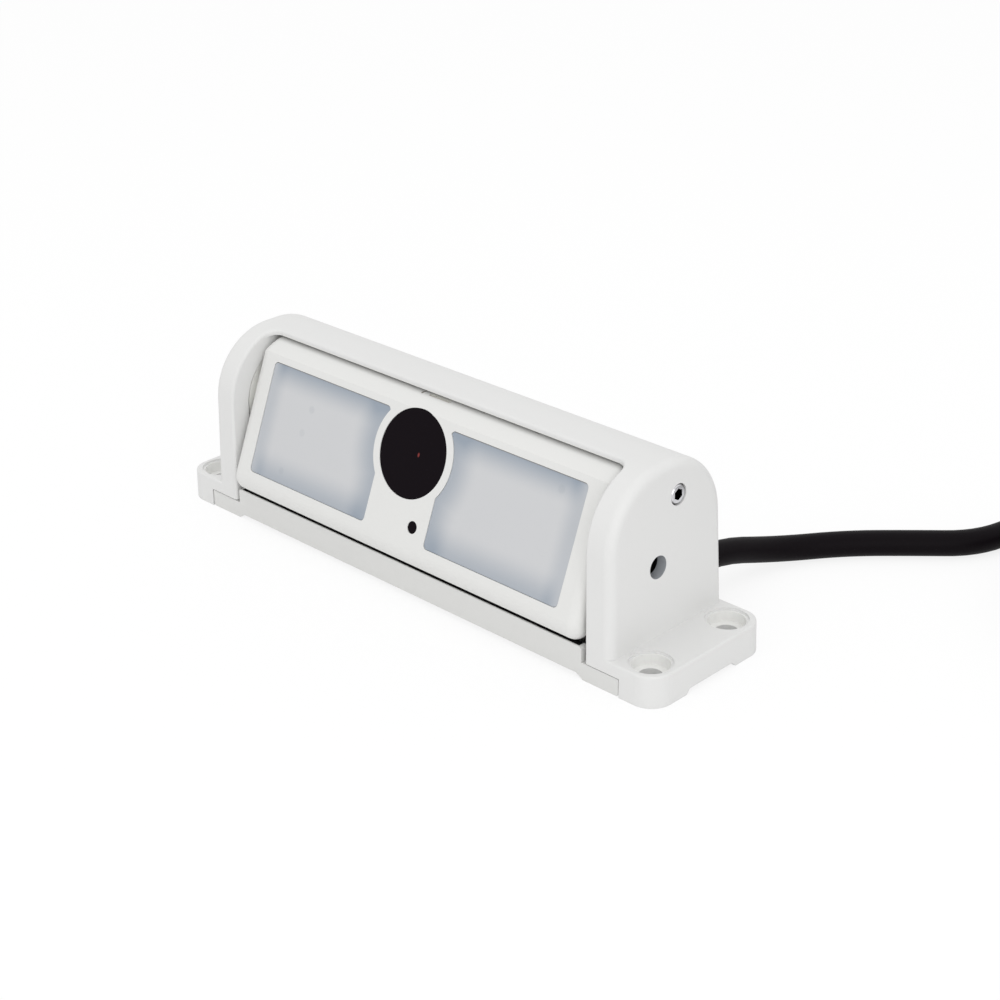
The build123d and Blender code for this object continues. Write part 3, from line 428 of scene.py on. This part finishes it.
routeOut = [
    (53.6 * mm, 17.214 * mm, 9.2 * mm),
    (53.6 * mm, 33.1 * mm, 10.1 * mm),
    (57.4 * mm, 55.1 * mm, 3.3 * mm),
    (67.9 * mm, 69.6 * mm, halfCable),
    (80.1 * mm, 80.9 * mm, halfCable),
    (92.3 * mm, 91.7 * mm, halfCable),
    (95.1 * mm, 109.7 * mm, halfCable),
    (110.5 * mm, 124.0 * mm, halfCable),
]
routeTail = [
    (tailX, coilY - 13 * mm, 9.0 * mm),
    (tailX, coilY - 25 * mm, cable["plugRadius"]),
    (tailX, cable["plugStart"], cable["plugRadius"]),
]


def moved(turns, name):
    # how far a change of lane or layer has gone, from 0 to 1, eased at both ends
    value = max(0.0, min(1.0, (turns - cable[name]) / cable["moveTurns"]))
    return value * value * (3 - 2 * value)


def coilPoints():
    # outer low turn, in to the inner low turn, up, and out again on the upper layer
    points = []
    steps = cable["stepsPerTurn"]
    swell = 1 / math.cos(math.pi / steps)  # the smooth line runs inside its points
    inner = cable["coilRadius"] - halfCable * cable["innerLane"]
    outer = cable["coilRadius"] + halfCable
    start = math.radians(cable["coilStart"])
    count = round((cable["coilTurns"] + cable["coilStart"] / 360) * steps)
    for i in range(count + 1):
        turns = i / steps
        angle = start - 2 * math.pi * turns
        radius = (outer + (inner - outer) * (moved(turns, "moveIn") - moved(turns, "moveOut"))) * swell
        height = halfCable + cable["diameter"] * cable["upperLayer"] * moved(turns, "moveUp")
        points.append((coilX + radius * math.cos(angle), coilY + radius * math.sin(angle), height))
    return points


def roundCord(name, points, radius):
    data = bpy.data.curves.new(name, "CURVE")
    data.dimensions = "3D"
    spline = data.splines.new("NURBS")
    spline.points.add(len(points) - 1)
    for point, place in zip(spline.points, points):
        point.co = (*place, 1)
    spline.order_u = 3
    spline.use_endpoint_u = True
    spline.resolution_u = cable["stepsAlong"]
    data.bevel_depth = radius
    data.bevel_resolution = cable["stepsAround"]
    data.use_fill_caps = True
    cord = bpy.data.objects.new(name, data)
    bpy.context.scene.collection.objects.link(cord)
    return cord


def lineLength(points):
    probe = roundCord("probe", points, 0)
    mesh = bpy.data.meshes.new_from_object(probe.evaluated_get(bpy.context.evaluated_depsgraph_get()))
    places = [v.co.copy() for v in mesh.vertices]
    total = sum((b - a).length for a, b in zip(places, places[1:]))
    bpy.data.objects.remove(probe)
    bpy.data.meshes.remove(mesh)
    return total


# What repeats: ribs and rings on the boot and the plug, and the ties round the coil

facets = {"ring": 48, "bead": 10, "rib": 8, "strapCorner": 8}
tieHead = {"wide": 1.5, "thick": 3.0, "long": 1.25}  # in widths and thicknesses of the strap


def newTree(name, sizes):
    tree = bpy.data.node_groups.new(name, "GeometryNodeTree")
    tree.interface.new_socket("Geometry", in_out="INPUT", socket_type="NodeSocketGeometry")
    kinds = {int: "NodeSocketInt", float: "NodeSocketFloat", tuple: "NodeSocketVector"}
    for label, value in sizes.items():
        socket = tree.interface.new_socket(label, in_out="INPUT", socket_type=kinds[type(value)])
        socket.default_value = value
    tree.interface.new_socket("Finish", in_out="INPUT", socket_type="NodeSocketMaterial")
    tree.interface.new_socket("Geometry", in_out="OUTPUT", socket_type="NodeSocketGeometry")
    return tree, tree.nodes.new("NodeGroupInput").outputs, tree.nodes.new("NodeGroupOutput")


def step(tree, kind, values, **settings):
    # one node with its values and settings, giving its first output
    node = tree.nodes.new(kind)
    for key, value in settings.items():
        setattr(node, key, value)
    for label, value in values.items():
        for one in value if isinstance(value, list) else [value]:
            give(tree, node.inputs[label], one)
    return node.outputs[0]


def endTree(tree, output, geometry, finish):
    realized = step(tree, "GeometryNodeRealizeInstances", {"Geometry": geometry})
    painted = step(tree, "GeometryNodeSetMaterial", {"Geometry": realized, "Material": finish})
    tree.links.new(painted, output.inputs[0])


def ringRowTree(sizes):
    # rings in a row along Y, growing or shrinking from the first to the last
    tree, given, output = newTree("ringRow", sizes)
    offset = step(tree, "ShaderNodeCombineXYZ", {"Y": given["Spacing"]})
    row = step(tree, "GeometryNodeMeshLine", {"Count": given["Count"], "Offset": offset})
    path = step(tree, "GeometryNodeCurvePrimitiveCircle", {"Resolution": facets["ring"], "Radius": 1.0})
    bead = step(tree, "GeometryNodeCurvePrimitiveCircle", {
        "Resolution": facets["bead"],
        "Radius": calc(tree, "DIVIDE", given["Bead"], given["First Radius"]),
    })
    ring = step(tree, "GeometryNodeCurveToMesh", {"Curve": path, "Profile Curve": bead})
    scale = step(tree, "ShaderNodeMapRange", {
        "Value": step(tree, "GeometryNodeInputIndex", {}), "From Max": minus(tree, given["Count"], 1.0),
        "To Min": given["First Radius"], "To Max": given["Last Radius"],
    })
    rings = step(tree, "GeometryNodeInstanceOnPoints", {
        "Points": row, "Instance": ring, "Rotation": (math.pi / 2, 0, 0), "Scale": scale,
    })
    placed = step(tree, "GeometryNodeTransform", {
        "Geometry": rings, "Translation": given["First Place"],
    })
    endTree(tree, output, placed, given["Finish"])
    return tree


def ribCircleTree(sizes):
    # straight ribs round an axis along Y, each a little rounded bar
    tree, given, output = newTree("ribCircle", sizes)
    circle = step(tree, "GeometryNodeMeshCircle", {
        "Vertices": given["Count"], "Radius": given["Radius"],
    })
    barEnd = step(tree, "ShaderNodeCombineXYZ", {"Z": given["Length"]})
    bar = step(tree, "GeometryNodeCurvePrimitiveLine", {"End": barEnd})
    bead = step(tree, "GeometryNodeCurvePrimitiveCircle", {
        "Resolution": facets["rib"], "Radius": given["Bead"],
    })
    rib = step(tree, "GeometryNodeCurveToMesh", {
        "Curve": bar, "Profile Curve": bead, "Fill Caps": True,
    })
    ribs = step(tree, "GeometryNodeInstanceOnPoints", {"Points": circle, "Instance": rib})
    turn = step(tree, "ShaderNodeCombineXYZ", {"Z": given["Turn"]})
    spun = step(tree, "GeometryNodeTransform", {"Geometry": ribs, "Rotation": turn})
    placed = step(tree, "GeometryNodeTransform", {
        "Geometry": spun, "Rotation": (math.pi / 2, 0, 0), "Translation": given["First Place"],
    })
    endTree(tree, output, placed, given["Finish"])
    return tree


def tieTree(sizes):
    # flat straps that go round a wound bundle, with their heads on top
    tree, given, output = newTree("coilTies", sizes)
    index = step(tree, "GeometryNodeInputIndex", {})
    between = calc(tree, "DIVIDE", 2 * math.pi, given["Count"])
    angle = plus(tree, given["Turn"], times(tree, index, between))
    spot = step(tree, "ShaderNodeCombineXYZ", {
        "X": times(tree, given["Radius"], calc(tree, "COSINE", angle)),
        "Y": times(tree, given["Radius"], calc(tree, "SINE", angle)),
    })
    points = step(tree, "GeometryNodePoints", {"Count": given["Count"], "Position": spot})

    wide, thick = given["Strap Width"], given["Strap Thickness"]
    loop = step(tree, "GeometryNodeCurvePrimitiveQuadrilateral", {
        "Width": given["Wide"], "Height": given["High"],
    })
    soft = step(tree, "GeometryNodeFilletCurve", {
        "Curve": loop, "Radius": given["Corner"], "Count": facets["strapCorner"],
    }, mode="POLY")
    level = step(tree, "GeometryNodeSetCurveNormal", {"Curve": soft}, mode="Z_UP")
    flat = step(tree, "GeometryNodeCurvePrimitiveQuadrilateral", {"Width": thick, "Height": wide})
    strap = step(tree, "GeometryNodeCurveToMesh", {"Curve": level, "Profile Curve": flat})

    size = step(tree, "ShaderNodeCombineXYZ", {
        "X": times(tree, wide, tieHead["wide"]),
        "Y": times(tree, thick, tieHead["thick"]),
        "Z": times(tree, wide, tieHead["long"]),
    })
    top = step(tree, "ShaderNodeCombineXYZ", {"Y": times(tree, given["High"], 0.5)})
    block = step(tree, "GeometryNodeMeshCube", {"Size": size})
    lifted = step(tree, "GeometryNodeTransform", {"Geometry": block, "Translation": top})

    joined = step(tree, "GeometryNodeJoinGeometry", {"Geometry": [strap, lifted]})
    upright = step(tree, "GeometryNodeTransform", {"Geometry": joined, "Rotation": (math.pi / 2, 0, 0)})
    facing = step(tree, "FunctionNodeAxisAngleToRotation", {"Axis": (0, 0, 1), "Angle": angle})
    ties = step(tree, "GeometryNodeInstanceOnPoints", {
        "Points": points, "Instance": upright, "Rotation": facing,
    })
    placed = step(tree, "GeometryNodeTransform", {"Geometry": ties, "Translation": given["Centre"]})
    endTree(tree, output, placed, given["Finish"])
    return tree


def madeByNodes(name, tree, sizes, slot, smooth=True):
    piece = bpy.data.objects.new(name, bpy.data.meshes.new(name))
    bpy.context.scene.collection.objects.link(piece)
    modifier = piece.modifiers.new("shape", "NODES")
    modifier.node_group = tree
    for socket in tree.interface.items_tree:
        if socket.in_out == "INPUT" and socket.name in sizes:
            modifier[socket.identifier] = sizes[socket.name]
        elif socket.in_out == "INPUT" and socket.name == "Finish":
            modifier[socket.identifier] = materials[slot]
    made = bpy.data.meshes.new_from_object(piece.evaluated_get(bpy.context.evaluated_depsgraph_get()))
    piece.modifiers.remove(modifier)
    piece.data = made
    made.name = name
    for polygon in made.polygons:
        polygon.use_smooth = smooth
    print(name, len(made.polygons), "faces")
    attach(piece, "mounting_body")
    return piece


bootRings = {
    "Count": 4, "Spacing": 1.35 * mm, "First Radius": 5.12 * mm, "Last Radius": 4.22 * mm,
    "Bead": 0.38 * mm, "First Place": (53.6 * mm, 23.6 * mm, 9.2 * mm),
}
gripRings = {
    "Count": 5, "Spacing": -2.2 * mm, "First Radius": 6.36 * mm, "Last Radius": 6.52 * mm,
    "Bead": 0.42 * mm, "First Place": (tailX, cable["plugStart"] - 16.6 * mm, cable["plugRadius"]),
}
threadRings = {
    "Count": 5, "Spacing": -1.0 * mm, "First Radius": 5.92 * mm, "Last Radius": 5.92 * mm,
    "Bead": 0.27 * mm, "First Place": (tailX, cable["plugStart"] - 39.5 * mm, cable["plugRadius"]),
}
nutRibs = {
    "Count": 24, "Radius": 7.0 * mm, "Length": 7.8 * mm, "Turn": math.radians(7.5),
    "Bead": 0.3 * mm, "First Place": (tailX, cable["plugStart"] - 29.9 * mm, cable["plugRadius"]),
}
coilTies = {
    "Count": 2, "Radius": cable["coilRadius"], "Turn": math.radians(35.0),
    "Wide": 13.9 * mm, "High": 13.3 * mm, "Corner": 3.1 * mm,
    "Strap Thickness": 0.7 * mm, "Strap Width": 3.6 * mm,
    "Centre": (coilX, coilY, 7.0 * mm),
}
ringRow = ringRowTree(bootRings)
madeByNodes("bootRings", ringRow, bootRings, "cable_black")
plugGrip = madeByNodes("plugGrip", ringRow, gripRings, "plug_black")
plugThread = madeByNodes("plugThread", ringRow, threadRings, "plug_metal")
nutKnurl = madeByNodes("nutKnurl", ribCircleTree(nutRibs), nutRibs, "plug_metal")
coilStraps = madeByNodes("coilStraps", tieTree(coilTies), coilTies, "plug_black", smooth=False)
print("repeated pieces done")

allPoints = routeOut + coilPoints() + routeTail
cordLength = lineLength(allPoints)
print("cord length", round(cordLength, 4))
cord = roundCord("sensorCable", allPoints, halfCable)
cord.data.materials.append(materials["cable_black"])
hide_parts("cable", "cable_coil", "cable_tail")
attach(cord, "mounting_body")
print("cable done")

# Floor, lamps, world
stage = {
    "floorSize": 4.0, "floorColour": (0.9, 0.9, 0.9, 1), "floorRoughness": 0.9,
    "floorWhite": 1.03, "floorShare": 0.8,  # the share that shows as background keeps a soft shadow
    "worldStrength": 0.8, "worldWhite": 1.0, "worldShare": 1.0,
}
lamps = {
    "topLamp": {"place": (-0.1, -0.1, 0.9), "size": 0.9, "power": 1.4},
    "frontLamp": {"place": (0.75, -0.55, 0.4), "size": 0.7, "power": 2.0},
}
lampTarget = Vector((0, 0, 0.02))


def whiteBehind(tree, lit, surface, white, share):
    # plain white to the camera and in reflections, by its share, and lit as usual for all else
    path = tree.nodes.new("ShaderNodeLightPath").outputs
    seen = calc(tree, "MAXIMUM", path["Is Camera Ray"], path["Is Glossy Ray"])
    seen = calc(tree, "MAXIMUM", seen, path["Is Transmission Ray"])
    glow = tree.nodes.new("ShaderNodeEmission")
    glow.inputs["Color"].default_value = (1, 1, 1, 1)
    glow.inputs["Strength"].default_value = white
    blend = tree.nodes.new("ShaderNodeMixShader")
    tree.links.new(times(tree, seen, share), blend.inputs[0])
    tree.links.new(lit, blend.inputs[1])
    tree.links.new(glow.outputs[0], blend.inputs[2])
    tree.links.new(blend.outputs[0], surface)


floorMesh = bpy.data.meshes.new("floor")
half = stage["floorSize"] / 2
corners = [(-half, -half, 0), (half, -half, 0), (half, half, 0), (-half, half, 0)]
floorMesh.from_pydata(corners, [], [(0, 1, 2, 3)])
floor = bpy.data.objects.new("floor", floorMesh)
bpy.context.scene.collection.objects.link(floor)
floorMaterial, floorTree, floorShader = newMaterial("floor_white")
floorShader.inputs["Base Color"].default_value = stage["floorColour"]
floorShader.inputs["Roughness"].default_value = stage["floorRoughness"]
floorShader.inputs["Specular IOR Level"].default_value = 0.0
floorLit = floorShader.outputs["BSDF"]
whiteBehind(floorTree, floorLit, floorLit.links[0].to_socket,
            stage["floorWhite"], stage["floorShare"])
floorMesh.materials.append(floorMaterial)

world = bpy.data.worlds.new("studio")
bpy.context.scene.world = world
world.use_nodes = True
worldTree = world.node_tree
worldTree.nodes.clear()
worldOut = worldTree.nodes.new("ShaderNodeOutputWorld")
dome = worldTree.nodes.new("ShaderNodeBackground")
dome.inputs["Color"].default_value = (1, 1, 1, 1)
dome.inputs["Strength"].default_value = stage["worldStrength"]
whiteBehind(worldTree, dome.outputs[0], worldOut.inputs["Surface"],
            stage["worldWhite"], stage["worldShare"])

for lampName, values in lamps.items():
    lamp = bpy.data.lights.new(lampName, "AREA")
    lamp.size = values["size"]
    lamp.energy = values["power"]
    lampObject = bpy.data.objects.new(lampName, lamp)
    lampObject.location = values["place"]
    towards = lampTarget - Vector(values["place"])
    lampObject.rotation_euler = towards.to_track_quat("-Z", "Y").to_euler()
    bpy.context.scene.collection.objects.link(lampObject)
print("stage done")

# Camera: the photograph's own view, worked out from the object's edges
camera = {
    "azimuth": 44.89, "elevation": 26.00, "roll": -1.052,
    "distance": 501.1 * mm, "shiftRight": -11.06 * mm, "shiftUp": -16.01 * mm,
    "focalPixels": 2015.7, "frame": 1000, "sensor": 36.0, "nearest": 10.0 * mm,
}
azimuth, elevation, roll = (math.radians(camera[k]) for k in ("azimuth", "elevation", "roll"))
back = Vector((
    math.sin(azimuth) * math.cos(elevation),
    -math.cos(azimuth) * math.cos(elevation),
    math.sin(elevation),
))
level = Vector((math.cos(azimuth), math.sin(azimuth), 0))
upward = back.cross(level)
right = math.cos(roll) * level + math.sin(roll) * upward
up = -math.sin(roll) * level + math.cos(roll) * upward
eye = back * camera["distance"] - right * camera["shiftRight"] - up * camera["shiftUp"]
cameraData = bpy.data.cameras.new("photoView")
cameraData.sensor_width = camera["sensor"]
cameraData.lens = camera["focalPixels"] / camera["frame"] * camera["sensor"]
cameraData.clip_start = camera["nearest"]
cameraObject = bpy.data.objects.new("photoView", cameraData)
cameraObject.matrix_world = Matrix.Translation(eye) @ Matrix((right, up, back)).transposed().to_4x4()
bpy.context.scene.collection.objects.link(cameraObject)
bpy.context.scene.camera = cameraObject
bpy.context.scene.view_settings.view_transform = "Standard"

print("scene done")
